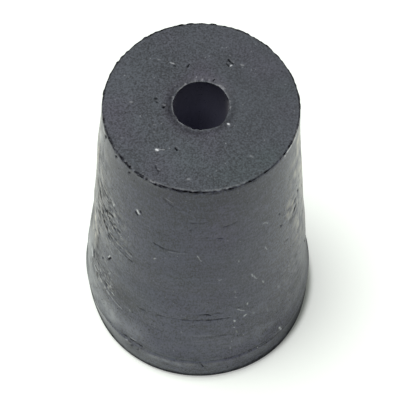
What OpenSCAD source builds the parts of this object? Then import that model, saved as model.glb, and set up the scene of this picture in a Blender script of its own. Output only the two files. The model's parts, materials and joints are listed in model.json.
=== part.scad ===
// One-hole laboratory stopper: a tapered plug of moulded rubber with a raised
// band round its wide end and a straight hole through it for a glass tube.
// It stands on its wide face, with +Z along the hole towards the narrow end.

/* [Plug] */
// Height from the wide face to the narrow face
plug_h = 25; // [16:0.5:45]
// Diameter of the wide end, at the crest of the band
wide_d = 17; // [14.5:0.1:30]
// Diameter of the narrow end
narrow_d = 13; // [8:0.1:16]

/* [Band] */
// Height of the band, from the wide face to the corner under the flank
band_h = 2.85; // [1.6:0.05:6]
// How far the crest of the band stands out from the foot of the flank
band_step = 0.14; // [0.05:0.01:0.6]
// Height over which the shoulder slopes out to the crest
shoulder_h = 0.15; // [0.1:0.05:0.8]
// How far the band draws in again from its crest to the wide face
band_draft = 0.06; // [0:0.01:0.6]

/* [Edges] */
// Radius of the rim round the narrow face
rim_r = 0.12; // [0.05:0.01:0.6]
// Radius of the edge round the wide face
foot_r = 0.45; // [0.05:0.05:0.8]
// Radius of the crest of the band
crest_r = 0.1; // [0.05:0.05:1]
// Radius in the corner between the flank and the shoulder
corner_r = 0.1; // [0.05:0.05:0.5]

/* [Hole] */
// Diameter of the hole
hole_d = 3.7; // [2:0.1:6]
// Radius of the hole's edge at both ends
mouth_r = 0.08; // [0.02:0.01:0.3]
// Width of the shallow dish round the hole in the narrow face
dish_w = 0.45; // [0.2:0.05:1]
// Depth of that dish
dish_depth = 0.04; // [0.02:0.01:0.3]

/* [Hidden] */
$fn = 96;
arc_step = 15; // largest turn, in degrees, between two points of a rounded corner
hole_r = hole_d / 2;
crest_z = band_h - shoulder_h;

// Unit vector from the point a towards the point b
function towards(a, b) = let (d = [b.x - a.x, b.y - a.y]) d / norm(d);

// Length of the side between the points a and b
function side(a, b) = norm([b.x - a.x, b.y - a.y]);

// Arc in place of the corner b = [radius, height, rounding] between a and c.
// A rounding that is too large for its sides is cut down to half the shorter one.
function round_corner(a, b, c) =
    let (
        u = towards(b, a),
        v = towards(b, c),
        half = acos(u * v) / 2,
        reach = min(b.z / tan(half), side(a, b) / 2, side(b, c) / 2),
        r = reach * tan(half),
        corner = [b.x, b.y],
        centre = corner + (u + v) / norm(u + v) * r / sin(half),
        from_centre = corner + u * reach - centre,
        start = atan2(from_centre.y, from_centre.x),
        turn = (180 - 2 * half) * sign(cross(v, u)),
        steps = ceil(abs(turn) / arc_step)
    )
    [for (i = [0 : steps]) let (t = start + turn * i / steps) centre + r * [cos(t), sin(t)]];

// Closed outline in which each corner that states a rounding becomes its arc
function rounded(corners) =
    let (n = len(corners))
    [for (i = [0 : n - 1])
        let (b = corners[i])
        each (b.z > 0 ? round_corner(corners[(i + n - 1) % n], b, corners[(i + 1) % n])
                      : [[b.x, b.y]])];

// Half section through the plug, as [radius, height, rounding], from the hole's
// lower edge out along the wide face, up the flank and back to its upper edge
module half_section() {
    polygon(rounded([
        [hole_r, 0, mouth_r],
        [wide_d / 2 - band_draft, 0, foot_r],
        [wide_d / 2, crest_z, crest_r],
        [wide_d / 2 - band_step, band_h, corner_r],
        [narrow_d / 2, plug_h, rim_r],
        [hole_r + dish_w, plug_h, 0],
        [hole_r, plug_h - dish_depth, mouth_r]
    ]));
}

module stopper() {
    color("#4a4d51")
        rotate_extrude() half_section();
}

stopper();
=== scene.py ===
import json
import math

import bmesh
import bpy
import numpy as np
from mathutils import Euler, Matrix, Vector


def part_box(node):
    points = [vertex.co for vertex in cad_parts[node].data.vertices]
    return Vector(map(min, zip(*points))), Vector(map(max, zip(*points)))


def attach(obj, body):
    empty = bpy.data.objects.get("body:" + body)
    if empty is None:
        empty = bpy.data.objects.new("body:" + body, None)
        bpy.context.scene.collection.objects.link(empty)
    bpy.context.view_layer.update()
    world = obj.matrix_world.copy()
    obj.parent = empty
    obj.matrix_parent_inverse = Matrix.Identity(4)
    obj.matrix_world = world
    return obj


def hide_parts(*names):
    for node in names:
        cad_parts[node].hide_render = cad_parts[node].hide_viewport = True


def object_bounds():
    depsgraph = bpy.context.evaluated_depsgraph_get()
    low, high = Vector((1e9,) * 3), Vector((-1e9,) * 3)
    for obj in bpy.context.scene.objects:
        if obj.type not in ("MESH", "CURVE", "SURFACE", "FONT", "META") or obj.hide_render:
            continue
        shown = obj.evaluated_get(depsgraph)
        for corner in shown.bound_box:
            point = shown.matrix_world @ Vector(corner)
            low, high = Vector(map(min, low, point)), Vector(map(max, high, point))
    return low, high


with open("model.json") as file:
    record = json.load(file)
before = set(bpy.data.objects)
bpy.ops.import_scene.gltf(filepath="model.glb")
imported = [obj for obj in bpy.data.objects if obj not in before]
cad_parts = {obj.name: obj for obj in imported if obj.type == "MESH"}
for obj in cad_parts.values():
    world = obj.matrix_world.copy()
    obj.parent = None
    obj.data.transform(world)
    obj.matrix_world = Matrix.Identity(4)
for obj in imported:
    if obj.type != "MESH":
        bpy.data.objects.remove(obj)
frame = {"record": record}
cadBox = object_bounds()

mm = 0.001


def hexToLinear(code):
    # sRGB hex to the linear values that Blender's colours are in
    parts = [int(code[i:i + 2], 16) / 255 for i in (1, 3, 5)]
    return tuple(p / 12.92 if p <= 0.04045 else ((p + 0.055) / 1.055) ** 2.4 for p in parts) + (1.0,)


def addNode(tree, kind, settings=None, inputs=None):
    node = tree.nodes.new(kind)
    for name, value in (settings or {}).items():
        setattr(node, name, value)
    for name, value in (inputs or {}).items():
        if isinstance(value, bpy.types.NodeSocket):
            tree.links.new(value, node.inputs[name])
        else:
            node.inputs[name].default_value = value
    return node


# Camera, at the angle the stopper is looked at from

cameraView = {
    "eye": (0, -67.908 * mm, 136.041 * mm),
    "tiltDown": 61.26,  # degrees below the horizon
    "pan": 0.0573,      # degrees towards +X
    "roll": 0.91,       # degrees
    "lens": 178.235,    # mm
    "sensor": 36,       # mm
    "near": 0.005,      # m
    "far": 20,
}


def makeCamera():
    data = bpy.data.cameras.new("camera")
    data.lens = cameraView["lens"]
    data.sensor_width = cameraView["sensor"]
    data.clip_start, data.clip_end = cameraView["near"], cameraView["far"]
    camera = bpy.data.objects.new("camera", data)
    bpy.context.scene.collection.objects.link(camera)
    aim = Euler((math.radians(90 - cameraView["tiltDown"]), 0, -math.radians(cameraView["pan"])))
    turned = aim.to_matrix().to_4x4() @ Matrix.Rotation(math.radians(cameraView["roll"]), 4, "Z")
    camera.matrix_world = Matrix.Translation(cameraView["eye"]) @ turned
    bpy.context.scene.camera = camera


makeCamera()
print("camera placed")

# Soft studio light and a pale paper floor

studio = {
    "skyStrength": 0.34,
    "lampStrength": 2.1,
    "lampHeight": 78,    # degrees above the horizon
    "lampSide": 172,     # degrees round from +X, so it stands to the left
    "lampWidth": 24,     # degrees across, for a soft shadow
    "paper": "#e8efe6",
    "paperGlow": 0.35,   # added where the paper is looked at
    "glowStart": 8 * mm,  # from the hole; nearer, the stopper sees the paper in its own shade
    "glowFull": 14 * mm,
    "contact": (0.8 * mm, 0, 0),  # middle of a painted contact shadow: the paper's glow fades in a ring round it, shifted to the shadow side
    "contactStart": 7.6 * mm,
    "contactFull": 8.2 * mm,
    "floorSize": 3.0,
}


def makeWorld():
    world = bpy.data.worlds.new("softRoom")
    bpy.context.scene.world = world
    world.use_nodes = True
    tree = world.node_tree
    tree.nodes.clear()
    path = addNode(tree, "ShaderNodeLightPath")
    mirrored = addNode(tree, "ShaderNodeMath", {"operation": "MAXIMUM"},
                       {0: path.outputs["Is Glossy Ray"], 1: path.outputs["Is Transmission Ray"]})
    seen = addNode(tree, "ShaderNodeMath", {"operation": "MAXIMUM"},
                   {0: path.outputs["Is Camera Ray"], 1: mirrored.outputs[0]})
    strength = addNode(tree, "ShaderNodeMapRange", None,
                       {"Value": seen.outputs[0], "To Min": studio["skyStrength"], "To Max": 1.0})
    back = addNode(tree, "ShaderNodeBackground", None,
                   {"Color": (1, 1, 1, 1), "Strength": strength.outputs[0]})
    addNode(tree, "ShaderNodeOutputWorld", None, {"Surface": back.outputs[0]})


def makeLamp():
    lamp = bpy.data.lights.new("softLamp", "SUN")
    lamp.energy = studio["lampStrength"]
    lamp.angle = math.radians(studio["lampWidth"])
    up, side = math.radians(studio["lampHeight"]), math.radians(studio["lampSide"])
    towards = Vector((math.cos(up) * math.cos(side), math.cos(up) * math.sin(side), math.sin(up)))
    holder = bpy.data.objects.new("softLamp", lamp)
    holder.rotation_euler = towards.to_track_quat("Z", "Y").to_euler()
    bpy.context.scene.collection.objects.link(holder)


def whitePaper():
    # Matt white card: evenly white, and it keeps the stopper's shadow; near the foot, on the shadow
    # side, its glow fades as a painted contact shadow
    material = bpy.data.materials.new("whitePaper")
    material.use_nodes = True
    tree = material.node_tree
    tree.nodes.clear()
    path = addNode(tree, "ShaderNodeLightPath")
    place = addNode(tree, "ShaderNodeTexCoord")
    away = addNode(tree, "ShaderNodeVectorMath", {"operation": "LENGTH"},
                   {0: place.outputs["Object"]})
    clear = addNode(tree, "ShaderNodeMapRange", {"interpolation_type": "SMOOTHSTEP"},
                    {"Value": away.outputs["Value"], "From Min": studio["glowStart"],
                     "From Max": studio["glowFull"]})
    mirrored = addNode(tree, "ShaderNodeMath", {"operation": "MAXIMUM"},
                       {0: path.outputs["Is Glossy Ray"], 1: path.outputs["Is Transmission Ray"]})
    shaded = addNode(tree, "ShaderNodeMath", {"operation": "MULTIPLY"},
                     {0: mirrored.outputs[0], 1: clear.outputs[0]})
    # the glow looked at fades round a point right of the foot: painted contact shadow
    fromContact = addNode(tree, "ShaderNodeVectorMath", {"operation": "DISTANCE"},
                          {0: place.outputs["Object"], 1: studio["contact"]})
    outsidePaintedShadow = addNode(tree, "ShaderNodeMapRange", {"interpolation_type": "SMOOTHSTEP"},
                       {"Value": fromContact.outputs["Value"],
                        "From Min": studio["contactStart"], "From Max": studio["contactFull"]})
    looked = addNode(tree, "ShaderNodeMath", {"operation": "MULTIPLY"},
                     {0: path.outputs["Is Camera Ray"], 1: outsidePaintedShadow.outputs[0]})
    seen = addNode(tree, "ShaderNodeMath", {"operation": "MAXIMUM"},
                   {0: looked.outputs[0], 1: shaded.outputs[0]})
    glow = addNode(tree, "ShaderNodeMath", {"operation": "MULTIPLY"},
                   {0: seen.outputs[0], 1: studio["paperGlow"]})
    paper = addNode(tree, "ShaderNodeBsdfDiffuse", None, {"Color": hexToLinear(studio["paper"])})
    light = addNode(tree, "ShaderNodeEmission", None, {"Strength": glow.outputs[0]})
    both = addNode(tree, "ShaderNodeAddShader", None, {0: paper.outputs[0], 1: light.outputs[0]})
    addNode(tree, "ShaderNodeOutputMaterial", None, {"Surface": both.outputs[0]})
    return material


def makeFloor():
    bpy.ops.object.select_all(action="DESELECT")
    bpy.ops.mesh.primitive_plane_add(size=studio["floorSize"], location=(0, 0, 0))
    floor = bpy.context.object
    floor.name = "floor"
    floor.data.materials.append(whitePaper())


bpy.context.scene.view_settings.view_transform = "Standard"
makeWorld()
makeLamp()
makeFloor()
print("studio lit")

# The stopper: a moulded half section, grown corner by corner and spun round its hole

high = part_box("stopper")[1]
tubeHole = next(m for m in frame["record"]["mounts"] if m["name"] == "tube_hole")

stopperShape = {
    "height": high.z,
    "crestRadius": high.x,
    "crestHeight": 2.77 * mm,
    "footRadius": high.x - 0.06 * mm,      # of the wide face, before its edge is rounded
    "shoulderRadius": high.x - 0.13 * mm,  # where the flank meets the band
    "shoulderHeight": 2.92 * mm,
    "narrowRadius": 6.5 * mm,
    "rimBand": 0.4 * mm,                   # finer rows on both sides of the rim
    "holeRadius": tubeHole["dims"]["r_mm"] * mm,
    "dishWidth": 0.45 * mm,
    "dishDepth": 0.04 * mm,
    "steps": 330,                          # round the hole
    "rowGap": 0.245 * mm,                  # between two rows of points up the flank
}

touching = 1e-6  # m, points closer than this are one


def sectionCorners(s):
    # radius, height, rounding, points in the rounding, gap between points up to the next corner
    top, rim = s["height"], s["rimBand"]
    lean = (s["shoulderRadius"] - s["narrowRadius"]) / (top - s["shoulderHeight"])
    return [
        (s["holeRadius"], 0, 0.08 * mm, 2, 0.9 * mm),  # hole, below
        (s["footRadius"], 0, 0.45 * mm, 6, 0.15 * mm),  # foot
        (s["crestRadius"], s["crestHeight"], 0.06 * mm, 3, 0.05 * mm),  # top of the band
        (s["shoulderRadius"], s["shoulderHeight"], 0.05 * mm, 3, s["rowGap"]),  # foot of the flank
        (s["narrowRadius"] + rim * lean, top - rim, 0, 0, 0.07 * mm),
        (s["narrowRadius"], top, 0.04 * mm, 3, 0.07 * mm),  # rim
        (s["narrowRadius"] - rim, top, 0, 0, 0.17 * mm),
        (s["holeRadius"] + s["dishWidth"], top, 0, 0, 0.12 * mm),  # start of the dish
        (s["holeRadius"], top - s["dishDepth"], 0.06 * mm, 3, 0.4 * mm),  # hole, above
        (s["holeRadius"], top - 0.5 * mm, 0, 0, 3 * mm),
    ]


def growSection(name, corners):
    bpy.ops.object.select_all(action="DESELECT")
    bpy.ops.mesh.primitive_plane_add(size=mm, location=(corners[0][0], 0, corners[0][1]))
    piece = bpy.context.object
    piece.name = name
    bpy.ops.object.transform_apply(location=True, rotation=False, scale=False)
    bpy.ops.object.mode_set(mode="EDIT")
    bpy.ops.mesh.select_mode(type="VERT")
    bpy.ops.mesh.select_all(action="SELECT")
    bpy.ops.mesh.merge(type="CENTER")
    for here, there in zip(corners, corners[1:] + corners[:1]):
        move = (there[0] - here[0], 0, there[1] - here[1])
        bpy.ops.mesh.extrude_vertices_move(TRANSFORM_OT_translate={"value": move})
    bpy.ops.mesh.select_all(action="SELECT")
    bpy.ops.mesh.remove_doubles(threshold=touching)
    return piece


def pick(piece, kind, test):
    # Selects the points, edges or faces of the piece that pass the test
    bpy.ops.mesh.select_mode(type={"verts": "VERT", "edges": "EDGE", "faces": "FACE"}[kind])
    bpy.ops.mesh.select_all(action="DESELECT")
    mesh = bmesh.from_edit_mesh(piece.data)
    for item in getattr(mesh, kind):
        if test(item):
            item.select_set(True)
    bmesh.update_edit_mesh(piece.data)


def onLine(point, a, b):
    along = (point - a).dot(b - a) / (b - a).length_squared
    return -0.001 < along < 1.001 and (point - a - (b - a) * along).length < touching


def roundCorners(piece, corners):
    for radius, height, rounding, points, _ in corners:
        if rounding > 0:
            corner = Vector((radius, 0, height))
            pick(piece, "verts", lambda v: (v.co - corner).length < touching)
            bpy.ops.mesh.bevel(offset_type="OFFSET", offset=rounding, segments=points,
                               affect="VERTICES")


def addRows(piece, corners):
    for here, there in zip(corners, corners[1:] + corners[:1]):
        a, b = Vector((here[0], 0, here[1])), Vector((there[0], 0, there[1]))
        side = lambda e: onLine(e.verts[0].co, a, b) and onLine(e.verts[1].co, a, b)
        pick(piece, "edges", side)
        length = max(e.calc_length() for e in bmesh.from_edit_mesh(piece.data).edges if e.select)
        cuts = int(length / here[4])
        if cuts > 0:
            bpy.ops.mesh.subdivide(number_cuts=cuts)


def spinSection(piece, steps):
    bpy.ops.mesh.select_all(action="SELECT")
    bpy.ops.mesh.spin(steps=steps, angle=math.tau, center=(0, 0, 0), axis=(0, 0, 1))
    bpy.ops.mesh.select_all(action="SELECT")
    bpy.ops.mesh.remove_doubles(threshold=touching)
    bpy.ops.mesh.normals_make_consistent(inside=False)
    bpy.ops.object.mode_set(mode="OBJECT")


sectionPlan = sectionCorners(stopperShape)
stopper = growSection("stopper.moulded", sectionPlan)
roundCorners(stopper, sectionPlan)
addRows(stopper, sectionPlan)
spinSection(stopper, stopperShape["steps"])
print("stopper spun:", len(stopper.data.polygons), "faces")

# Relief, wear and painted light and shade: lengths in mm, angles in degrees from the front, positive
# to the right

swells = [
    # angle, height, half width in degrees, half height in mm, how far out
    (-98, 19.8, 34, 2.3, 0.085),
    (-98, 7.2, 34, 2.3, 0.08),
    (-98, 11.8, 60, 1.2, -0.055),
    (98, 12.6, 60, 1.6, -0.05),
    (95, 6, 42, 2.4, -0.09),
    (95, 1.5, 36, 2.2, -0.07),
    (-60, 1.2, 28, 2.4, -0.11),
    (-84, 13.2, 16, 0.5, 0.05),
    (-88, 6, 16, 0.6, 0.06),
    (-80, 1.6, 14, 1.8, -0.06),
    (-70, 0.5, 16, 1.6, -0.09),
    (80, 1.6, 20, 2.4, -0.12),
    (40, 0.4, 20, 0.8, 0.05),
    (-46, 0.2, 26, 0.6, -0.03),
    (-30, 25, 14, 0.3, 0.06),
    (0, 11.8, 45, 1.2, -0.03),
    (180, 11.8, 60, 1.6, -0.05),
    (165, 19, 40, 2.6, 0.04),
    (180, 25.3, 62, 2, 0.07),
    (85, 25.3, 40, 2, 0.07),
    (-88, 25.3, 36, 2, -0.03),
]

scuffs = [
    # torn skin: angle, height, half width in degrees, half height in mm, strength
    (-64, 15.8, 16, 3.4, 1),
    (-76, 12.4, 10, 2.4, 0.8),
    (-78, 21, 10, 2.6, 0.3),
    (-64, 7.6, 15, 2.6, 0.7),
    (67, 16.1, 11, 2.5, 0.42),
    (66, 9, 14, 4, 0.35),
    (172, 14, 36, 3.6, 0.8),
    (128, 7, 22, 2.6, 0.6),
]

dustAndEdgeReflection = [
    # warm dust rubbed into the skin, and a painted reflection of the pale floor along the side
    # edges, the same way
    (-91, 18.3, 18, 5.8, 0.68),
    (-114, 17, 20, 6.5, 0.5),
    (-140, 15, 24, 6.5, 0.26),
    (-83, 22.1, 5, 1, 0.85),
    (-80, 14.6, 5, 1.6, 0.62),
    (-79, 10.4, 4, 0.9, 0.6),
    (-80, 12.3, 5, 2.2, 0.85),
    (-73.5, 10.7, 3, 1.2, 0.5),
    (-72.5, 18.4, 3.5, 0.8, 0.45),
    (-70, 14.2, 6, 2.5, 0.2),
    (92, 18, 18, 6.5, 0.76),
    (79, 17.4, 9, 2.8, 0.56),
    (115, 17, 20, 6.5, 0.5),
    (141, 15, 24, 6.5, 0.26),
    (80, 23.3, 9, 1.6, 0.68),
    (70, 20.5, 9, 2.5, 0.22),
    (75, 14, 8, 2.6, 0.42),
    (62, 17.4, 5, 1.1, 0.36),
    (-22, 2.4, 26, 0.4, 0.1),
    (74, 16.6, 4, 1.2, 0.4),
]

chalkAndEdgeReflection = [
    # cooler and more even chalk, and a painted reflection near the side edges, the same way
    (-84, 6.8, 6, 2.4, 0.42),
    (-74, 3.5, 9, 1.5, 0.24),
    (-75.5, 4.2, 5, 1, 0.24),
    (-70, 3.2, 16, 2.4, 0.2),
    (-52, 4.1, 12, 1.2, 0.25),
    (-78.5, 14.2, 4.5, 1.6, 0.24),
    (-79.5, 10.3, 3.5, 0.9, 0.24),
    (76, 17.4, 8, 2.6, 0.14),
    (-65, 6, 4, 2.4, 0.09),
    (-28, 3.4, 6, 0.8, 0.05),
    (16, 5, 20, 1.1, 0.03),
    (2, 10.6, 10, 0.8, 0.02),
    (-42, 1.6, 14, 0.9, 0.07),
    (-36, 4.3, 8, 1.1, 0.12),
]

grimeAndShade = [
    # raw and grimy skin, and painted shade near the foot, low on the right and along the side
    # outlines, the same way
    (66, 1.2, 24, 1.7, 0.62),
    (-60, 0.9, 16, 1.1, 0.35),
    (-74, 2.7, 12, 0.4, 0.8),
    (100, 5.5, 14, 5, 0.66),
    (-101, 3, 15, 5, 0.58),
    (-83, 1.5, 8, 1.7, 0.75),
    (50, 0.6, 22, 1, 0.3),
    (-34, 1.9, 7, 0.9, 0.3),
    (38, 0.5, 16, 1.2, 0.35),
    (-88, 10.5, 5, 2.6, 0.45),
    (-77.3, 17.4, 1.8, 0.7, 0.6),
    (-74.8, 15.7, 2, 0.6, 0.5),
    (-70, 10, 1.8, 1.6, 0.45),
    (-45, 8, 8, 1.4, 0.24),
    (58, 6.4, 8, 2, 0.1),
]

coarse = [
    # a coarser tooth, the same way
    (-76, 19, 14, 5, 1.6),
    (-62, 16, 24, 8, 1.2),
    (-60, 5, 30, 4.5, 1.6),
    (64, 14, 24, 9, 1.4),
    (50, 4, 34, 4, 1.6),
    (0, 9, 40, 4, 0.2),
    (0, 1.5, 60, 1.3, 1.2),
]

bloomAndShadingPatches = [
    # how much more bloom the rubber has, the same way, with painted shade under the rim and low on
    # the right, and painted highlights along the band's crest and low on the left
    (0, 23.9, 60, 1.2, -0.4),
    (0, 22, 40, 2.5, -0.06),
    (0, 11.5, 40, 3.5, 0.03),
    (-62, 4.2, 26, 2, 0.2),
    (-52, 4.4, 12, 1.1, 0.26),
    (-36, 4.75, 9, 1, 0.25),
    (-42, 7.9, 9, 1.4, -0.36),
    (-50, 6.9, 7, 1.1, -0.2),
    (-32, 8.1, 7, 1.1, -0.14),
    (-31, 2, 8, 1, -0.2),
    (3, 9.7, 9, 0.9, 0.14),
    (61, 17.6, 8, 1.2, 0.42),
    (61, 14.8, 8, 1, -0.12),
    (-62, 23.4, 9, 1.1, -0.14),
    (-16, 23.9, 14, 0.9, 0.16),
    (-60, 8.2, 22, 1, -0.18),
    (60, 4.8, 30, 3, -0.2),
    (0, 8.3, 26, 1.2, 0.1),
    (-12, 2.4, 36, 0.5, 0.35),
    (-8, 2.88, 38, 0.12, 0.5),
    (0, 4.8, 30, 1.2, 0.38),
    (33, 4.4, 9, 0.9, 0.1),
]

casts = [
    # purple where negative and green where positive, the same way
    (13, 22.5, 10, 2, -0.3),
    (15, 19, 9, 2.2, -0.3),
    (-17, 24, 8, 1, -0.3),
    (0, 19.5, 8, 1.5, -0.2),
    (-24, 17.7, 6, 1.2, 0.3),
    (-46, 12.5, 9, 3, 0.25),
    (-60, 16, 9, 3, 0.2),
    (45, 3, 20, 2, -0.25),
    (60, 22, 12, 2, 0.3),
    (-24, 10.5, 9, 2, 0.25),
    (-36, 8, 8, 1.5, 0.25),
    (18, 2.5, 10, 1.5, -0.25),
    (-10, 14.5, 9, 1.5, 0.15),
    (10, 12, 9, 1.5, -0.12),
]

faceTones = [
    # more bloom on the narrow face: x, y, half width, how much
    (-5.7, 0.9, 1.3, 0.22),
    (-5.2, 2.3, 1.2, 0.14),
    (-4.2, -1.5, 1, 0.15),
    (-1.8, -4, 1.3, 0.2),
    (-4, 3.8, 1.3, 0.1),
    (2, 5.2, 1.2, 0.12),
    (5.6, -1.5, 1.2, 0.08),
    (-1, -3.4, 1.2, 0.08),
    (-5, -3, 0.9, 0.08),
]

faceCasts = [
    # purple or green there, the same way
    (-5.8, -0.6, 1.2, -0.4),
    (-5.2, -2.2, 1, -0.3),
    (5.9, -0.6, 1.3, -0.12),
    (4, 3.2, 1.5, -0.25),
    (0, 2.7, 1.2, -0.3),
    (2.3, 5.3, 1.4, -0.15),
    (-2.2, 5.4, 1, -0.25),
    (0.4, -3, 1.1, -0.35),
    (-2.7, -4.6, 1.2, -0.25),
    (-3.6, 3, 1.8, -0.05),
    (2.3, 0.1, 1, 0.08),
    (-1.1, -3.9, 1.2, 0.3),
    (2.6, -4.6, 1.3, 0.35),
    (4.6, -3.7, 1, 0.35),
    (1, -5.4, 1, 0.18),
]

wearKinds = {
    # how pale, how dark, how far out at full strength, how broken up along its length
    "fleck": (1, 0, 0.03, 0),
    "scratch": (0.75, 0, 0, 0.5),
    # creases and pits are darkened as painted shade in their hollows
    "crease": (0, 1.2, -0.03, 0.8),
    "pit": (0, 1, -0.1, 0),
    "dust": (0.15, 0, 0, 0.4),
    "stain": (0, 0.35, 0, 0.5),
}

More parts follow.
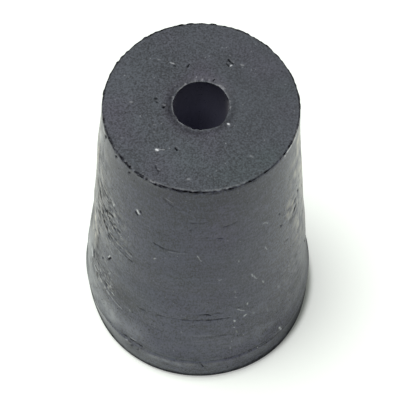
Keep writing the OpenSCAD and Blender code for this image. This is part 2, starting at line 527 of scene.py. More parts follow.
flankWear = [
    # kind, width, strength, then the line it follows as angle and height
    ("fleck", 0.13, 1, [(-36.6, 20.62), (-35.7, 20.38)]),
    ("pit", 0.1, 0.8, [(-34.7, 20.75), (-34.4, 20.6)]),
    ("pit", 0.1, 0.7, [(-37.9, 20.3), (-36.4, 20.12)]),
    ("fleck", 0.07, 0.5, [(-24.6, 15.75), (-24, 15.85)]),
    ("fleck", 0.12, 0.6, [(-55.8, 18.4), (-54.6, 18.8)]),
    ("scratch", 0.08, 0.32, [(22.5, 15.8), (22.9, 15.6)]),
    ("scratch", 0.06, 0.42, [(39.4, 15.85), (40.6, 15.3)]),
    ("scratch", 0.09, 0.42, [(37.1, 11.5), (37.8, 11.2)]),
    ("fleck", 0.08, 0.48, [(27.2, 9.7), (27.3, 9.5)]),
    ("fleck", 0.1, 0.75, [(25.2, 8.12), (26.1, 8.18)]),
    ("dust", 0.14, 1, [(30.5, 8), (30.8, 7.8)]),
    ("fleck", 0.07, 0.62, [(19.5, 8), (19.9, 7.8)]),
    ("fleck", 0.07, 0.5, [(19.4, 7), (19.6, 6.95)]),
    ("dust", 0.1, 1.2, [(20.6, 6.4), (21.2, 6)]),
    ("dust", 0.1, 1.3, [(20.3, 11.9), (20.5, 11.7)]),
    ("dust", 0.1, 1.3, [(20.4, 11.1), (21, 11)]),
    ("dust", 0.1, 1.2, [(17.3, 4.3), (17.5, 4.1)]),
    ("scratch", 0.06, 0.35, [(11.3, 13.85), (12.6, 13.9)]),
    ("dust", 0.11, 1, [(-8.2, 6.9), (-7.9, 6.8)]),
    ("dust", 0.14, 2, [(-37.9, 7.05), (-37.5, 6.95)]),
    ("scratch", 0.14, 0.7, [(-50.8, 7.2), (-49.8, 7.1)]),
    ("scratch", 0.15, 0.55, [(-52.6, 7.9), (-52.2, 7.8)]),
    ("scratch", 0.16, 0.6, [(-57.9, 6.9), (-57, 6.75)]),
    ("dust", 0.13, 1.6, [(-55.4, 9.1), (-53.9, 9.5)]),
    ("fleck", 0.22, 1, [(-76.6, 8), (-75.2, 7.35)]),
    ("fleck", 0.2, 0.6, [(-86.2, 5.5), (-85, 5.3)]),
    ("scratch", 0.11, 0.95, [(46.3, 3.4), (47.2, 2.95)]),
    ("dust", 0.12, 1, [(39.2, 7.3), (39.8, 6.9)]),
    ("dust", 0.12, 1, [(47.6, 9.2), (48.4, 8.8)]),
    ("dust", 0.12, 1, [(55.2, 6.7), (55.8, 6.3)]),
    ("scratch", 0.08, 0.4, [(38.3, 18.95), (39.8, 18.9), (41.8, 18.6)]),
    ("scratch", 0.05, 0.6, [(-0.4, 17.25), (0.4, 17), (0.8, 16.8), (1.7, 16.6)]),
    ("scratch", 0.06, 0.6, [(30.3, 13.3), (30.9, 12.9), (31.8, 12.9), (32.4, 12.5), (33.7, 12.3)]),
    ("scratch", 0.06, 0.55, [(21.6, 9.35), (23.3, 9.05), (25.1, 8.85)]),
    ("crease", 0.09, 0.8, [(22, 9.55), (23.8, 9.45)]),
    ("crease", 0.11, 0.7, [(-2.5, 9.42), (1.5, 9.46), (3.5, 9.45)]),
    ("crease", 0.13, 0.8, [(3.6, 9.48), (5.5, 9.42), (7, 9.28)]),
    ("crease", 0.1, 0.5, [(7.5, 9.47), (13.5, 9.46)]),
    ("crease", 0.1, 0.6, [(-21, 8.45), (-14, 8.58)]),
    ("crease", 0.1, 0.9, [(-14, 8.58), (-3, 8.65)]),
    ("crease", 0.13, 1, [(-3.5, 8.65), (0.5, 8.68), (2.6, 8.72)]),
    ("crease", 0.1, 0.8, [(5, 8.68), (10, 8.62), (13, 8.62)]),
    ("crease", 0.09, 0.6, [(13, 8.62), (18.5, 8.5)]),
    ("crease", 0.09, 0.5, [(-9, 7.75), (-1.5, 7.7)]),
    ("crease", 0.1, 0.8, [(-33.2, 8.35), (-32, 8.2), (-28.8, 8.25)]),
    ("crease", 0.14, 0.55, [(-25, 17.7), (-19.5, 17.5), (-13, 17.52)]),
    ("crease", 0.1, 0.35, [(-13, 17.52), (-6.5, 17.65)]),
    ("scratch", 0.05, 0.15, [(-16.5, 17.3), (-7, 17.4)]),
    ("crease", 0.1, 0.4, [(-7, 21.3), (5, 21.45)]),
    ("crease", 0.08, 0.5, [(-5, 20.4), (-1, 20.85)]),
    ("crease", 0.11, 0.6, [(4, 19.6), (9, 19.4), (13.5, 19.2)]),
    ("crease", 0.12, 0.6, [(14, 20.6), (17, 20.62)]),
    ("crease", 0.12, 0.6, [(18.5, 20.7), (21.5, 20.85)]),
    ("crease", 0.14, 0.3, [(-20.5, 23.6), (-16, 23.1), (-13.5, 22.9)]),
    ("scratch", 0.07, 0.3, [(-19, 23.7), (-15, 23.4)]),
    ("crease", 0.08, 0.4, [(-22.5, 19.3), (-16.5, 19.3)]),
    ("crease", 0.16, 0.8, [(-72, 18.35), (-62, 18.4)]),
    ("crease", 0.17, 1.1, [(-58, 18.45), (-53, 18.2)]),
    ("crease", 0.16, 1.2, [(-74, 16.9), (-70.5, 16.8)]),
    ("crease", 0.14, 0.8, [(-62, 16.6), (-55, 17.1)]),
    ("crease", 0.14, 0.6, [(-65, 15.1), (-57, 16), (-48.5, 15.5)]),
    ("scratch", 0.08, 0.4, [(-58.5, 17.55), (-55, 17.6)]),
    ("crease", 0.12, 0.7, [(-51.5, 14.75), (-46, 14.7)]),
    ("crease", 0.14, 0.7, [(-45, 14.65), (-39, 14.6)]),
    ("scratch", 0.07, 0.35, [(-51, 14.35), (-45.5, 14.35)]),
    ("scratch", 0.07, 0.35, [(-44, 14.35), (-38.5, 14.3)]),
    ("crease", 0.11, 0.6, [(-52, 13.9), (-44.5, 13.85)]),
    ("crease", 0.14, 0.7, [(-43.5, 13.8), (-38.5, 13.75)]),
    ("scratch", 0.07, 0.3, [(-52, 13.6), (-43, 13.6)]),
    ("pit", 0.11, 1, [(-56.8, 10.85), (-55, 11.4)]),
    ("scratch", 0.07, 1, [(-57.3, 11.05), (-55.9, 11.5)]),
    ("pit", 0.12, 0.7, [(-60.3, 16.1), (-59, 16.2)]),
    ("crease", 0.08, 0.4, [(-54, 16.1), (-50, 16.1)]),
    ("stain", 0.7, 1.2, [(-70, 10.2), (-66, 8.4)]),
    ("crease", 0.22, 0.8, [(-71, 11.4), (-69, 9.6), (-67, 8.5)]),
    ("pit", 0.15, 0.9, [(-73.4, 8.2), (-72.6, 7.7)]),
    ("pit", 0.16, 0.5, [(-73, 8.6), (-71.5, 8.2)]),
    ("pit", 0.12, 0.5, [(-62.5, 9.9), (-61.5, 10.1)]),
    ("pit", 0.12, 0.5, [(-66.7, 8.2), (-65.5, 8.3)]),
    ("stain", 1.1, 0.55, [(-60, 8.6), (-42, 8.2)]),
    ("scratch", 0.13, 0.5, [(-72, 6.95), (-66, 6.9)]),
    ("scratch", 0.13, 0.7, [(-65, 6.9), (-61, 6.75)]),
    ("scratch", 0.12, 0.55, [(-55.5, 6.6), (-50, 6.45)]),
    ("scratch", 0.1, 0.35, [(-49, 6.4), (-43, 6.35)]),
    ("crease", 0.12, 0.7, [(-75, 7.2), (-68, 7.25), (-60, 7.1)]),
    ("crease", 0.12, 0.6, [(-59, 7.15), (-50, 6.8), (-43, 6.6)]),
    ("crease", 0.09, 0.35, [(-55, 6.6), (-39, 6.5)]),
    ("crease", 0.09, 0.35, [(-31, 6.5), (-17, 6.35)]),
    ("pit", 0.11, 0.6, [(-56.3, 7.45), (-55.7, 7.15)]),
    ("crease", 0.08, 0.3, [(-2, 6.2), (8, 6.3), (15, 6.3)]),
    ("scratch", 0.07, 0.12, [(-2, 6.5), (9, 6.5)]),
    ("scratch", 0.07, 0.12, [(-1, 5.75), (8, 5.85)]),
    ("crease", 0.1, 0.35, [(12, 6.25), (18, 6.1)]),
    ("pit", 0.07, 0.8, [(51.9, 16.75), (52.2, 16.65)]),
    ("crease", 0.17, 1, [(60.5, 15.95), (63, 16), (67.5, 16.3)]),
    ("scratch", 0.2, 0.45, [(60, 16.3), (63, 16.5), (67, 16.8)]),
    ("crease", 0.11, 0.6, [(60.5, 17.4), (64.5, 17.3)]),
    ("pit", 0.1, 0.6, [(67, 17.2), (69, 17.3)]),
    ("pit", 0.12, 0.5, [(72.5, 17.7), (73.5, 17.4)]),
    ("crease", 0.09, 0.6, [(54.3, 14.05), (58.5, 13.8)]),
    ("pit", 0.1, 0.4, [(50.7, 18.5), (51.5, 18.3)]),
    ("pit", 0.16, 0.5, [(80.5, 8.7), (82.5, 8.1)]),
    ("pit", 0.14, 0.45, [(81, 16.8), (82.5, 16.2)]),
    ("scratch", 0.11, 1.2, [(60, 24.78), (66, 24.72), (76, 24.66)]),
    ("fleck", 0.12, 0.8, [(57.2, 24.75), (58.2, 24.7)]),
    ("scratch", 0.1, 0.7, [(-77, 24.55), (-72.5, 24.55)]),
    ("scratch", 0.45, 0.65, [(-84, 22.4), (-77, 23.2)]),
    ("pit", 0.16, 1.1, [(-71.2, 24.4), (-70.3, 24.6)]),
    ("pit", 0.13, 1.1, [(-56.9, 24.4), (-55.9, 24.55)]),
    ("pit", 0.11, 0.6, [(-44.2, 24.3), (-43.3, 24.45)]),
]

bandWear = [
    # the same, on the band and just above it
    ("pit", 0.1, 0.9, [(-40.5, 2.95), (-38.5, 2.95)]),
    ("pit", 0.1, 1, [(-36, 2.98), (-33, 3.02)]),
    ("pit", 0.1, 0.8, [(-31.5, 3), (-29, 2.95)]),
    ("fleck", 0.07, 0.5, [(-36, 3.25), (-33, 3.3)]),
    ("fleck", 0.08, 0.6, [(-38.6, 2.7), (-37.6, 2.75)]),
    ("pit", 0.13, 0.7, [(-34.8, 2.35), (-33.8, 2.55)]),
    ("pit", 0.1, 0.6, [(-31.2, 2.2), (-30.6, 2.5)]),
    ("crease", 0.1, 0.45, [(24, 2.92), (33, 2.95)]),
    ("crease", 0.07, 0.5, [(33, 2.95), (44, 2.9)]),
    ("crease", 0.06, 0.3, [(-28, 2.9), (23, 2.88)]),
    ("dust", 0.3, 0.8, [(-25, 2.3), (-21, 2.4)]),
    ("dust", 0.28, 0.9, [(-17, 2.4), (-15, 2.3)]),
    ("dust", 0.25, 0.7, [(-11, 2.4), (-9, 2.3)]),
    ("pit", 0.07, 0.8, [(2.4, 2.55), (3.2, 2.15)]),
]

faceWear = [
    # the same, as x and y on the narrow face
    ("fleck", 0.1, 1, [(1.78, -1.39), (1.84, -1.41)]),
    ("fleck", 0.1, 1, [(-2.85, -3.34), (-2.74, -3.4)]),
    ("scratch", 0.05, 0.4, [(-2.6, -3.34), (-2.3, -3.36)]),
    ("fleck", 0.08, 0.7, [(1.93, 3.15), (2.02, 3.2)]),
    ("scratch", 0.06, 0.7, [(-2.05, 3.32), (-1.84, 3.28)]),
    ("dust", 0.07, 1, [(-2.9, 3.62), (-2.76, 3.58)]),
    ("dust", 0.09, 1.2, [(-4.62, 0.25), (-4.5, 0.23)]),
    ("dust", 0.07, 1.2, [(-3.05, -1.5), (-2.95, -1.5)]),
    ("dust", 0.07, 1.2, [(-3.02, -2.07), (-2.96, -2.05)]),
    ("dust", 0.07, 1, [(-5.14, -2.5), (-5.06, -2.5)]),
    ("dust", 0.1, 1.2, [(-0.76, -5.5), (-0.66, -5.5)]),
    ("dust", 0.1, 1.2, [(2.66, 3.26), (2.8, 3.22)]),
    ("dust", 0.12, 0.9, [(3.3, -3.7), (3.4, -3.8)]),
    ("dust", 0.1, 1.8, [(-4.65, -4.42), (-4.55, -4.5)]),
    ("dust", 0.1, 1.8, [(5.5, -3.64), (5.6, -3.7)]),
    ("pit", 0.09, 1.1, [(1.8, 3.66), (1.92, 3.52)]),
    ("pit", 0.08, 1, [(1.98, 3.45), (2.1, 3.34)]),
    ("pit", 0.08, 1, [(1.7, 3.3), (1.86, 3.16)]),
    ("pit", 0.13, 1.2, [(-2.47, -0.17), (-2.42, -0.15)]),
    ("pit", 0.1, 1.1, [(-1.6, -3.24), (-1.5, -3.36)]),
    ("pit", 0.07, 0.9, [(-0.92, 3.02), (-0.8, 3.24)]),
    ("stain", 0.16, 0.9, [(-3, 0.6), (-2.92, 0.2)]),
    ("pit", 0.08, 0.9, [(-3, 0.55), (-2.95, 0.5)]),
    ("pit", 0.08, 0.9, [(-2.92, 0.25), (-2.88, 0.2)]),
    ("pit", 0.08, 0.8, [(-1.78, 3.12), (-1.72, 3.06)]),
    ("pit", 0.08, 0.7, [(-2.85, -4.55), (-2.8, -4.7)]),
    ("pit", 0.08, 0.7, [(-2.7, -4.85), (-2.62, -4.95)]),
    ("stain", 0.1, 0.8, [(-2.12, -5.44), (-2.08, -5.4)]),
    ("pit", 0.06, 0.6, [(0.9, -5.52), (0.94, -5.48)]),
    ("stain", 0.08, 0.8, [(1.18, -3.3), (1.22, -3.3)]),
    ("pit", 0.05, 0.9, [(0.78, 1.9), (0.86, 2.02)]),
]


def randomField(points, seed):
    # Smooth noise from -1 to 1, with one random value at each whole-number point
    grid = 64
    values = np.random.RandomState(seed).uniform(-1, 1, (grid, grid, grid))
    cell = np.floor(points).astype(int)
    part = points - cell
    part = part * part * (3 - 2 * part)
    total = np.zeros(len(points))
    for corner in np.ndindex(2, 2, 2):
        weight = np.prod(np.where(corner, part, 1 - part), axis=1)
        total += weight * values[tuple(((cell + corner) % grid).T)]
    return total


def softStep(value, start, full):
    t = np.clip((value - start) / (full - start), 0, 1)
    return t * t * (3 - 2 * t)


def bell(value, width):
    return np.exp(-(value / width) ** 2)


def fromLine(points, path):
    # Distance of each point from a broken line
    nearest = np.full(len(points), 1e9)
    for a, b in zip(path, path[1:]):
        a, b = np.array(a), np.array(b)
        run = b - a
        along = np.clip((points - a) @ run / (run @ run), 0, 1)
        nearest = np.minimum(nearest, np.linalg.norm(points - a - along[:, None] * run, axis=1))
    return nearest


stopperWear = {
    # in mm, and out from the moulded skin unless it is negative
    "hollow": -0.088,           # of the flank, halfway up
    "step": 0.12,               # above the band, away from the front
    "faceDrop": -0.012,         # keeps the narrow face under the plug's full height
    "waves": 0.012,             # slow unevenness of the moulding
    "ripples": 0.006,           # the same, quicker
    "bandRipples": 0.008,
    "rows": 0.003,              # fine rows that run round the flank
    "crumbs": 0.05,             # of torn skin
    "furrows": -0.06,           # the tears between them
    "grit": 0.045,              # on the dusty sides
    "rimTeeth": 0.075,
    "rimNicks": -0.04,
    "rimRing": 0.10,            # width of the black edge round the narrow face: raw rubber and painted shade
    "holeJags": -0.07,
    "footShade": 0.50,            # height of the painted contact shade where it touches down
    "holeShift": (0.06, 0.15),  # the hole comes out a little off the middle
    "boreLiftDepth": 5.6,           # the painted lift in the hole grows over this depth
}

# the shape's own edges in mm, which the wear keeps to
topZ = round(stopperShape["height"] / mm, 3)
crestZ = stopperShape["crestHeight"] / mm
shoulderZ = stopperShape["shoulderHeight"] / mm
holeR = stopperShape["holeRadius"] / mm
rimR = stopperShape["narrowRadius"] / mm
footR = 7.9      # inside the foot's rounding
edgeDepth = 0.1  # what lies nearer than this to the top or bottom belongs to a face
fineMark = 0.2   # wider marks need no smaller faces

# what the sculpting works out at each point and the rubber reads
skinValues = ("pale", "dust", "torn", "bloom", "bore", "tooth", "skin", "cast")


def flankRadius(z, s=stopperShape):
    # Radius of the plain cone, in mm, at a height in mm
    down = (s["height"] / mm - z) / ((s["height"] - s["shoulderHeight"]) / mm)
    return (s["narrowRadius"] + (s["shoulderRadius"] - s["narrowRadius"]) * down) / mm


def backWear(seed, count):
    # Marks of the same kinds for the side that is turned away
    draw = np.random.RandomState(seed)
    marks = []
    for i in range(count):
        kind = ("fleck", "scratch", "dust", "crease", "pit", "crease")[i % 6]
        angle, z = draw.uniform(100, 262), draw.uniform(4, 24)
        length = draw.uniform(2, 12) if kind == "crease" else draw.uniform(0.3, 1.2)
        drop = draw.uniform(-0.15, 0.15)
        width, strength = draw.uniform(0.06, 0.11), draw.uniform(0.4, 0.9)
        marks.append((kind, width, strength, [(angle, z), (angle + length, z + drop)]))
    return marks


def faceMarks(seed, count):
    # Marks for the wide face, which the stopper stands on
    draw = np.random.RandomState(seed)
    marks = []
    for i in range(count):
        kind = ("fleck", "pit", "dust", "stain")[i % 4]
        r, turn = draw.uniform(2.5, 7.5), draw.uniform(0, math.tau)
        x, y = r * math.cos(turn), r * math.sin(turn)
        marks.append((kind, draw.uniform(0.06, 0.12), draw.uniform(0.5, 1.0),
                      [(x, y), (x + draw.uniform(0.05, 0.3), y + draw.uniform(-0.1, 0.1))]))
    return marks


sideWear = flankWear + bandWear + backWear(11, 54)
baseWear = faceMarks(5, 28)


class Surface:
    # Where each point lies, in mm and degrees, and what the sculpting gives it
    def __init__(self, place):
        self.place = place / mm
        self.x, self.y, self.z = self.place.T
        self.radius = np.hypot(self.x, self.y)
        self.angle = np.degrees(np.arctan2(self.x, -self.y))
        skin = np.where(self.z < shoulderZ + 0.03, footR, flankRadius(self.z) - 0.06)
        self.outer = self.radius > skin
        flat = ~self.outer & (self.radius > holeR + 0.05)
        self.face = flat & (self.z > topZ - edgeDepth)
        self.base = flat & (self.z < edgeDepth)
        self.out, self.swell, self.pale, self.torn = np.zeros((4, len(place)))

    def apart(self, angle):
        # Degrees round the hole from an angle, the short way
        return (self.angle - angle + 180) % 360 - 180

    def near(self, angle, wide):
        # 1 at an angle, and fading out within some degrees of it
        return bell(self.apart(angle), wide)

    def patch(self, angle, height, wide, tall):
        return self.outer * self.near(angle, wide) * bell(self.z - height, tall)

    def spot(self, x, y, wide):
        return self.face * bell(np.hypot(self.x - x, self.y - y), wide)

    def noise(self, size, seed):
        # Random patches of a size in mm
        return randomField(self.place / size, seed)

    def lighten(self, amount):
        self.pale = np.maximum(self.pale, amount)

    def darken(self, amount):
        self.torn = np.maximum(self.torn, amount)


def wearDistances(surface):
    # For each mark: its kind, width, strength, each point's distance from it, and where it counts
    for kind, width, strength, path in sideWear:
        start, across = path[0][0], flankRadius(path[0][1])
        points = np.column_stack((np.radians(surface.apart(start)) * across, surface.z))
        line = [(math.radians(a - start) * across, z) for a, z in path]
        yield kind, width, strength, fromLine(points, line), surface.outer
    flat = np.column_stack((surface.x, surface.y))
    for wear, where in ((faceWear, surface.face), (baseWear, surface.base)):
        for kind, width, strength, path in wear:
            yield kind, width, strength, fromLine(flat, path), where


def patches(surface, places):
    # The strongest of the soft patches at each point
    total = np.zeros(len(surface.z))
    for angle, height, wide, tall, strength in places:
        total = np.maximum(total, strength * surface.patch(angle, height, wide, tall))
    return total


def tones(surface, plain, sidePlaces, facePlaces):
    # The plain value with every soft patch added to it
    total = plain + np.zeros(len(surface.z))
    for angle, height, wide, tall, amount in sidePlaces:
        total += amount * surface.patch(angle, height, wide, tall)
    for x, y, wide, amount in facePlaces:
        total += amount * surface.spot(x, y, wide)
    return total


def readPlaces(count, source):
    values = np.empty(count * 3)
    source(values)
    return values.reshape(-1, 3)


def refine(piece, reach, scuffedToo=False):
    # Cuts the faces within reach of a fine mark, and the scuffed and rim ones too, in four
    mesh = piece.data
    surface = Surface(readPlaces(len(mesh.polygons),
                                 lambda v: mesh.polygons.foreach_get("center", v)))
    close = np.zeros(len(surface.z), bool)
    if scuffedToo:
        close |= patches(surface, scuffs) > 0.5
        close |= (surface.z > topZ - 0.28) & (surface.radius > rimR - 0.12)
    for kind, width, strength, away, where in wearDistances(surface):
        if width < fineMark:
            close |= where & (away < width * 0.7 + reach)
    bpy.context.view_layer.objects.active = piece
    bpy.ops.object.mode_set(mode="EDIT")
    pick(piece, "faces", lambda f: close[f.index])
    bpy.ops.mesh.subdivide(number_cuts=1)
    bpy.ops.object.mode_set(mode="OBJECT")


def mouldSkin(s, wear=stopperWear):
    # The flank is slightly hollow between its ends, with a low waist and swells
    flank = s.outer * softStep(s.z, shoulderZ + 0.02, shoulderZ + 0.48)
    start = crestZ + 0.06
    t = np.clip((s.z - start) / (topZ - start), 0, 1)
    s.out += flank * wear["hollow"] * 4 * t * (1 - t)
    for angle, height, wide, tall, amount in swells:
        s.swell += amount * s.near(angle, wide) * bell(s.z - height, tall)
    skin = np.minimum(flankRadius(s.z), 8.4)
    s.swell *= softStep(s.radius, skin - 1.2, skin - 0.4)  # and the hole stays straight

    # the step above the band dies away on both sides of the front
    aside = np.abs(s.apart(-10))
    worn = softStep(aside, 38, 54) * (1 - softStep(aside, 120, 140))
    rise = softStep(s.z, crestZ + 0.03, crestZ + 0.13) * (1 - softStep(s.z, shoulderZ + 0.02, 4.6))
    s.out += wear["step"] * worn * s.outer * rise

    # uneven moulding, and fine rows that run round the flank, deeper where it is low or scuffed
    s.out += wear["waves"] * flank * s.noise((3.0, 3.0, 2.2), 1)
    s.out += wear["ripples"] * flank * s.noise((1.1, 1.1, 0.8), 2)
    s.rows = s.noise((2.6, 2.6, 0.42), 3)
    s.low = 1 - softStep(s.z, 8.5, 10.5)
    s.scuffed = patches(s, scuffs)
    s.out += flank * s.rows * (wear["rows"] * (1 + s.low) + 0.008 * s.scuffed)
    s.out += s.face * (wear["faceDrop"] + 0.004 * s.noise(1.6, 4) + 0.002 * s.noise(0.35, 5))


def scuffSkin(s, wear=stopperWear):
    # Short torn furrows along the rows, with crumbs that stand up beside them
    furrows = np.clip(s.noise((0.32, 0.36, 0.20), 13) - 0.15, 0, 1) * 2
    crumbs = np.clip(s.noise((0.25, 0.28, 0.18), 14) - 0.20, 0, 1) * 2
    s.out += s.scuffed * (wear["crumbs"] * crumbs + wear["furrows"] * furrows)
    s.lighten(0.30 * s.scuffed * crumbs)
    s.darken(0.95 * s.scuffed * np.minimum(furrows, 1))

    # grit on the worn sides, gone behind: its proud bumps take the dust and painted reflection, and
    # its hollows are painted black as shade
    grit = s.noise((0.34, 0.34, 0.50), 16)
    gritty = np.maximum(s.patch(-86, 18, 20, 7), 0.8 * s.patch(90, 17, 20, 8))
    s.softer = 1 - 0.9 * softStep(np.abs(s.apart(0)), 66, 106)
    s.out += wear["grit"] * gritty * grit * s.softer
    s.darken(0.6 * gritty * np.clip(-2.4 * s.softer * grit - 0.6, 0, 1))
    s.dusted = patches(s, dustAndEdgeReflection) * (1 + 0.5 * s.noise(1.8, 22))
    s.dust = np.maximum(0.35 * s.scuffed * crumbs,
                        s.dusted * np.clip(0.5 + 1.4 * s.softer * grit, 0, 1.8))


def markSkin(s):
    # Chalk and painted edge reflection, and grime and painted shade, in patches, then each fleck,
    # scratch, crease and pit
    s.darken(patches(s, grimeAndShade))
    ragged = 1 + 0.35 * s.noise(0.12, 6)
    patchy = np.clip(0.50 + 1.1 * s.noise((0.36, 0.36, 0.24), 15), 0, 1.2)
    s.lighten(patches(s, chalkAndEdgeReflection) * (0.6 + 0.6 * patchy))
    for kind, width, strength, away, where in wearDistances(s):
        paleness, darkness, proud, broken = wearKinds[kind]
        weight = where * bell(away * ragged, width * 0.6) * strength
        weight *= 1 - broken + broken * (patchy if darkness else 1.2 - patchy)
        s.lighten(paleness * weight)
        s.darken(darkness * weight)
        s.out += proud * weight


def tearRim(s, wear=stopperWear):
    # Nicked all round and chipped at the front left, with a black edge that is partly raw rubber and
    # partly painted shade under the overhanging rim
    fromRim = np.hypot(s.radius - rimR, s.z - topZ)
    teeth, fine, slow = s.noise(0.22, 7), s.noise(0.14, 18), s.noise(1.7, 8)
    chips, dashes = s.near(-38, 22), s.near(45, 32)
    behind = softStep(np.abs(s.apart(-8)), 74, 96)
    ring = wear["rimRing"] + 0.03 * teeth + 0.05 * np.maximum(chips, s.near(-63, 12))
    ring += 0.06 * s.near(-28, 15) * np.clip(0.6 + teeth, 0, 1.2)
    darkRim = 1 - softStep(fromRim, ring - 0.03, ring + 0.03)
    bitten = 0.60 - 0.15 * dashes + (0.30 + 0.5 * dashes) * teeth + 0.75 * fine
    bitten += 0.25 * s.near(-8, 18) - chips * (0.05 - 0.4 * fine)
    s.out += wear["rimTeeth"] * bell(fromRim, 0.10) * (teeth - 0.1)
    under = bell(s.z - (topZ - 0.14), 0.07)
    s.out += wear["rimNicks"] * s.outer * under * np.clip(0.4 + teeth, 0, 1)
    s.darken(darkRim * np.clip(np.maximum(bitten, 0.66 * behind), 0.12, 1))
    s.lighten(0.12 * darkRim * chips * np.clip(-2 * fine - 0.3, 0, 1))

    # a painted highlight on a thin lip inside it, brightest at the front
    rimHighlight = ~s.outer * bell(s.radius - (rimR - 0.17), 0.04) * (s.z > topZ - edgeDepth)
    rimHighlight *= 0.03 + 0.27 * s.near(4, 20)
    s.lighten(rimHighlight * np.clip(0.5 + 0.4 * slow - 0.6 * teeth, 0, 1))


def jagAndShadeHole(s, wear=stopperWear):
    # Its edge is slightly jagged, with a painted highlight along it, and painted shade on the face
    # round it where the shallow dish slopes away from the light
    mouth = np.hypot(s.radius - (holeR + 0.01), s.z - (topZ - 0.04))
    jags = s.noise(0.24, 9)
    s.out += wear["holeJags"] * bell(mouth, 0.12) * (np.clip(jags, -0.5, 1) + 0.7 * s.near(38, 24))
    mouthHighlight = np.clip(0.40 + 0.9 * jags + 0.7 * s.noise(0.7, 10), 0, 1)
    mouthHighlight *= bell(mouth, 0.05) * (1 - 0.6 * s.near(48, 40))
    s.lighten(0.26 * mouthHighlight)
    dishShadeSides = np.maximum(s.near(-85, 55), 0.8 * s.near(-20, 45))
    dishShadeSides = np.maximum(dishShadeSides, 0.75 * s.near(62, 48))
    dishShade = bell(s.radius - (holeR + 0.27), 0.22) * dishShadeSides * np.clip(0.8 + 0.5 * jags, 0, 1)
    s.darken(0.60 * dishShade * (s.z > topZ - edgeDepth) * (1 - mouthHighlight))


def shadeFootRippleBand(s, wear=stopperWear):
    # Painted contact shade where it touches down, higher on the right and at the left, and a little
    # uneven up to the crest of the band
    teeth = s.noise(0.22, 7)
    footShadeHeight = wear["footShade"] + 0.38 * s.near(58, 34) + 0.65 * s.near(-70, 24) + 0.10 * teeth
    # the black here is painted contact shade
    raw = 1 - softStep(s.z, footShadeHeight, footShadeHeight + 0.45)
    s.darken(s.outer * raw * (0.75 + 0.2 * teeth))
    band = s.outer * (1 - softStep(s.z, crestZ, shoulderZ + 0.05))
    s.out += wear["bandRipples"] * band * s.noise((0.9, 0.9, 1.2), 12)


def spreadBloomAndShading(s, wear=stopperWear):
    # The bloom's thickness with its painted shade and highlights, its tooth and tint, and the
    # painted lift that keeps the hole light deep down
    s.bloom = tones(s, 0.5, bloomAndShadingPatches, faceTones)
    s.bloom += s.outer * s.rows * (0.08 + 0.12 * s.low)
    s.bloom += s.outer * 0.12 * s.noise((1.5, 1.5, 1.2), 20)
    rough = patches(s, coarse)
    mottle = s.noise((0.75, 0.75, 0.5), 21)
    s.bloom += s.outer * (0.09 + 0.05 * s.low) * mottle
    s.pale += s.outer * s.low * (0.008 + 0.013 * rough) * np.clip(0.5 + 1.8 * mottle, 0, 1.6)
    s.tooth = 0.80 + 0.15 * s.low + 0.05 * s.face - 0.30 * s.face * s.near(110, 60)
    s.tooth += rough + s.scuffed + 2.0 * s.dusted * s.softer
    s.skin = s.outer * (1 - 0.9 * bell(s.z - (shoulderZ + 0.02), 0.16))
    s.skin *= (1 + 0.55 * s.near(54, 36)) * (1 - 0.6 * s.near(-78, 22))
    s.cast = tones(s, 0.5 + 0.12 * s.noise(1.4, 19), casts, faceCasts)
    # a purple painted shade in the dish round the hole, least on the right
    s.cast -= 0.35 * s.face * bell(s.radius - (holeR + 0.35), 0.4) * (1 - s.near(90, 50))
    bore = (s.radius < holeR + 0.05) & (s.z > 0.05) & (s.z < topZ - 0.12)
    # painted paler with depth, for the light that hardly reaches down the hole
    boreLift = ((topZ - s.z) / wear["boreLiftDepth"] + 0.05) * (1 - 0.5 * s.near(105, 60))
    s.bore = np.where(bore, np.clip(boreLift, 0.02, 0.55), 0)


def sculptStopper(piece, wear=stopperWear):
    mesh = piece.data
    count = len(mesh.vertices)
    places = readPlaces(count, lambda v: mesh.vertices.foreach_get("co", v))
    normals = readPlaces(count, lambda v: mesh.vertex_normals.foreach_get("vector", v))
    s = Surface(places)
    mouldSkin(s)
    scuffSkin(s)
    markSkin(s)
    tearRim(s)
    jagAndShadeHole(s)
    shadeFootRippleBand(s)
    spreadBloomAndShading(s)

    moved = places + normals * (s.out * mm)[:, None]
    moved[:, :2] *= (1 + s.swell / np.maximum(s.radius, 1))[:, None]
    shift = bell(s.radius, 3.2) * softStep(s.z, 12, topZ)
    moved[:, :2] += np.outer(shift, np.array(wear["holeShift"]) * mm)
    # nothing may pass the plug's own box
    reach = np.hypot(moved[:, 0], moved[:, 1])
    moved[:, :2] *= np.minimum(1, cadBox[1].x * 0.9995 / np.maximum(reach, 1e-9))[:, None]
    moved[:, 2] = np.clip(moved[:, 2], cadBox[0].z, cadBox[1].z)
    mesh.vertices.foreach_set("co", moved.ravel())
    for name in skinValues:
        made = mesh.attributes.new(name, "FLOAT", "POINT")
        made.data.foreach_set("value", getattr(s, name).astype(float))
    mesh.update()


refine(stopper, reach=0.12, scuffedToo=True)
refine(stopper, reach=0.03)
sculptStopper(stopper)
print("stopper worn:", sum(len(p.vertices) - 2 for p in stopper.data.polygons), "triangles")

# Black rubber, moulded and grey with bloom: the wax and chalk that come to the surface
# make it matt and dusty, with a fine tooth, chalk specks and pores

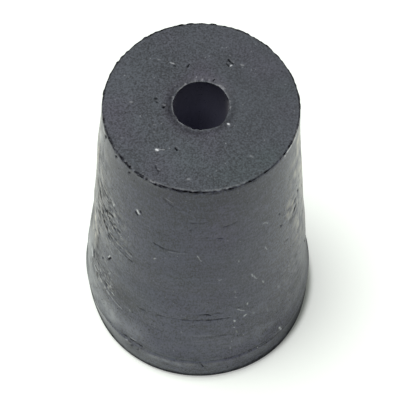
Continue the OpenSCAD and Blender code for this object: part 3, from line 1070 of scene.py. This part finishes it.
rubber = {
    "raw": "#0c0c0f",          # freshly torn or cut, with no gloss at all; it also paints the shade at the foot, rim, creases and pits
    "thinBloom": "#292c2f",
    "fullBloom": "#54595f",
    "mouldedTint": "#e2dcff",  # the moulded skin is bluer than the two faces
    "chalk": "#ebeef0",        # flecks and scratches, and the painted highlights and edge reflection
    "dust": "#dcd4c0",         # rubbed into the worn sides, warmer than the bloom, and a painted reflection along the side edges
    "boreMouth": "#191926",
    "boreDeep": "#a8a8c2",     # paler deep down, painted light so the bore stays as light there as at its mouth
    "purpleCast": "#fff0fd",   # faint mottling of the bloom
    "greenCast": "#f0fff6",
    "ior": 1.37,               # clean rubber has 1.52, and the bloom dulls it
    "roughness": 0.34,
    "sheen": 0.2,              # dust that lights up at the edges
    "grainDepth": 0.008,       # mm
    "rowDepth": 0.8,           # beside the grain's
    "speckGap": 0.28,          # mm between specks and pores
    "speckSize": 0.24,         # of that gap
    "speckChalk": 0.22,        # how pale the palest speck is
    "poreDark": 0.6,           # how dark the darkest pore is
    "poreless": 0.6,           # share of places that have no pore
    "speckless": (0.8, 0.9),   # or no speck, on the faces and on the flank
}

rubberPatterns = {
    # size in mm, how close it lies along x, y and z, how far it lightens and darkens the bloom
    "grain": (0.115, (1, 1, 0.5), 1.7),     # dust in fine pores, drawn coarse enough to show
    "rows": (0.24, (0.35, 0.35, 1), 0.55),  # left by the mould
    "clouds": (2, (1, 1, 1), 0.18),         # of thicker and thinner bloom
}


def mouldedRubber():
    material = bpy.data.materials.new("mouldedRubber")
    material.use_nodes = True
    tree = material.node_tree
    tree.nodes.clear()
    place = addNode(tree, "ShaderNodeTexCoord").outputs["Object"]
    pale, dust, torn, bloom, bore, tooth, skin, cast = [
        addNode(tree, "ShaderNodeAttribute", {"attribute_name": name}).outputs["Fac"]
        for name in skinValues]

    noise, change = {}, {}
    for name, (size, closeness, amount) in rubberPatterns.items():
        scale = [part / (size * mm) for part in closeness]
        spread = addNode(tree, "ShaderNodeMapping", None, {"Vector": place, "Scale": scale})
        noise[name] = addNode(tree, "ShaderNodeTexNoise", None,
                              {"Vector": spread.outputs[0], "Scale": 1.0, "Detail": 2.0})
        change[name] = addNode(tree, "ShaderNodeMapRange", {"clamp": False},
                               {"Value": noise[name].outputs["Fac"], "To Min": -amount,
                                "To Max": amount})
    rowPart = addNode(tree, "ShaderNodeMath", {"operation": "MULTIPLY"},
                      {0: change["rows"].outputs[0], 1: skin})
    fineTone = addNode(tree, "ShaderNodeMath", {"operation": "ADD"},
                       {0: change["grain"].outputs[0], 1: rowPart.outputs[0]})
    toothTone = addNode(tree, "ShaderNodeMath", {"operation": "MULTIPLY_ADD"},
                        {0: fineTone.outputs[0], 1: tooth, 2: bloom})
    tone = addNode(tree, "ShaderNodeMath", {"operation": "ADD", "use_clamp": True},
                   {0: toothTone.outputs[0], 1: change["clouds"].outputs[0]})
    bloomed = addNode(tree, "ShaderNodeMix", {"data_type": "RGBA"},
                      {0: tone.outputs[0], 6: hexToLinear(rubber["thinBloom"]),
                       7: hexToLinear(rubber["fullBloom"])})

    # a bluer moulded skin, with a faint purple and green cast in patches
    skinTint = addNode(tree, "ShaderNodeMix", {"data_type": "RGBA"},
                       {0: skin, 6: (1, 1, 1, 1), 7: hexToLinear(rubber["mouldedTint"])})
    castTint = addNode(tree, "ShaderNodeMix", {"data_type": "RGBA"},
                       {0: cast, 6: hexToLinear(rubber["purpleCast"]),
                        7: hexToLinear(rubber["greenCast"])})
    tinted = addNode(tree, "ShaderNodeMix", {"data_type": "RGBA", "blend_type": "MULTIPLY"},
                     {0: 1.0, 6: bloomed.outputs[2], 7: skinTint.outputs[2]})
    mottled = addNode(tree, "ShaderNodeMix", {"data_type": "RGBA", "blend_type": "MULTIPLY"},
                      {0: 1.0, 6: tinted.outputs[2], 7: castTint.outputs[2]})

    # scattered specks of chalk and black pores, most on the faces
    cells = addNode(tree, "ShaderNodeTexVoronoi", None,
                    {"Vector": place, "Scale": 1 / (rubber["speckGap"] * mm)})
    dot = addNode(tree, "ShaderNodeMapRange", None,
                  {"Value": cells.outputs["Distance"], "From Min": rubber["speckSize"],
                   "From Max": rubber["speckSize"] / 2})
    cell = addNode(tree, "ShaderNodeSeparateColor", None, {"Color": cells.outputs["Color"]})
    onFaces, onFlank = rubber["speckless"]
    rarer = addNode(tree, "ShaderNodeMapRange", None,
                    {"Value": skin, "To Min": onFaces, "To Max": onFlank})
    chosen = addNode(tree, "ShaderNodeMapRange", None,
                     {"Value": cell.outputs["Red"], "From Min": rarer.outputs[0],
                      "From Max": 1.0, "To Max": rubber["speckChalk"]})
    hollow = addNode(tree, "ShaderNodeMapRange", None,
                     {"Value": cell.outputs["Green"], "From Min": rubber["poreless"],
                      "From Max": 1.0, "To Max": rubber["poreDark"]})
    speck = addNode(tree, "ShaderNodeMath", {"operation": "MULTIPLY"},
                    {0: dot.outputs[0], 1: chosen.outputs[0]})
    pore = addNode(tree, "ShaderNodeMath", {"operation": "MULTIPLY"},
                   {0: dot.outputs[0], 1: hollow.outputs[0]})
    speckPart = addNode(tree, "ShaderNodeMath", {"operation": "MULTIPLY"},
                        {0: speck.outputs[0], 1: tooth})
    porePart = addNode(tree, "ShaderNodeMath", {"operation": "MULTIPLY"},
                       {0: pore.outputs[0], 1: tooth})
    black = addNode(tree, "ShaderNodeMath", {"operation": "MAXIMUM"},
                    {0: porePart.outputs[0], 1: torn})
    white = addNode(tree, "ShaderNodeMath", {"operation": "MAXIMUM"},
                    {0: speckPart.outputs[0], 1: pale})

    # warm dust and painted edge reflection, then white chalk and painted highlights, and what
    # neither covers may show raw black rubber and painted shade
    rubbed = addNode(tree, "ShaderNodeMix", {"data_type": "RGBA"},
                     {0: dust, 6: mottled.outputs[2], 7: hexToLinear(rubber["dust"])})
    chalked = addNode(tree, "ShaderNodeMix", {"data_type": "RGBA"},
                      {0: white.outputs[0], 6: rubbed.outputs[2],
                       7: hexToLinear(rubber["chalk"])})
    covered = addNode(tree, "ShaderNodeMath", {"operation": "MAXIMUM"},
                      {0: white.outputs[0], 1: dust})
    bare = addNode(tree, "ShaderNodeMath", {"operation": "SUBTRACT"},
                   {0: 1.0, 1: covered.outputs[0]})
    rawAndShadedPart = addNode(tree, "ShaderNodeMath", {"operation": "MULTIPLY", "use_clamp": True},
                      {0: black.outputs[0], 1: bare.outputs[0]})

    # the bore: black at its rubbed mouth, painted paler further down so that it stays as light as at
    # its mouth
    boreTone = addNode(tree, "ShaderNodeMix", {"data_type": "RGBA"},
                       {0: bore, 6: hexToLinear(rubber["boreMouth"]),
                        7: hexToLinear(rubber["boreDeep"])})
    inBore = addNode(tree, "ShaderNodeMath", {"operation": "GREATER_THAN"}, {0: bore, 1: 0.01})
    colour = addNode(tree, "ShaderNodeMix", {"data_type": "RGBA"},
                     {0: inBore.outputs[0], 6: chalked.outputs[2], 7: boreTone.outputs[2]})

    # the bump is the same tooth, so light and colour agree
    height = addNode(tree, "ShaderNodeMath", {"operation": "MULTIPLY_ADD"},
                     {0: noise["rows"].outputs["Fac"], 1: rubber["rowDepth"],
                      2: noise["grain"].outputs["Fac"]})
    bump = addNode(tree, "ShaderNodeBump", None,
                   {"Height": height.outputs[0], "Strength": tooth,
                    "Distance": rubber["grainDepth"] * mm})
    skinned = addNode(tree, "ShaderNodeBsdfPrincipled", None,
                      {"Base Color": colour.outputs[2], "Roughness": rubber["roughness"],
                       "Normal": bump.outputs[0], "IOR": rubber["ior"],
                       "Sheen Weight": rubber["sheen"], "Sheen Roughness": 0.2})
    dullBlack = addNode(tree, "ShaderNodeBsdfDiffuse", None, {"Color": hexToLinear(rubber["raw"])})
    surface = addNode(tree, "ShaderNodeMixShader", None,
                      {0: rawAndShadedPart.outputs[0], 1: skinned.outputs[0], 2: dullBlack.outputs[0]})
    addNode(tree, "ShaderNodeOutputMaterial", None, {"Surface": surface.outputs[0]})
    return material


stopper.data.materials.clear()
stopper.data.materials.append(mouldedRubber())
bpy.ops.object.select_all(action="DESELECT")
stopper.select_set(True)
bpy.context.view_layer.objects.active = stopper
bpy.ops.object.shade_smooth()
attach(stopper, "root")
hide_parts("stopper")
print("rubber finished")
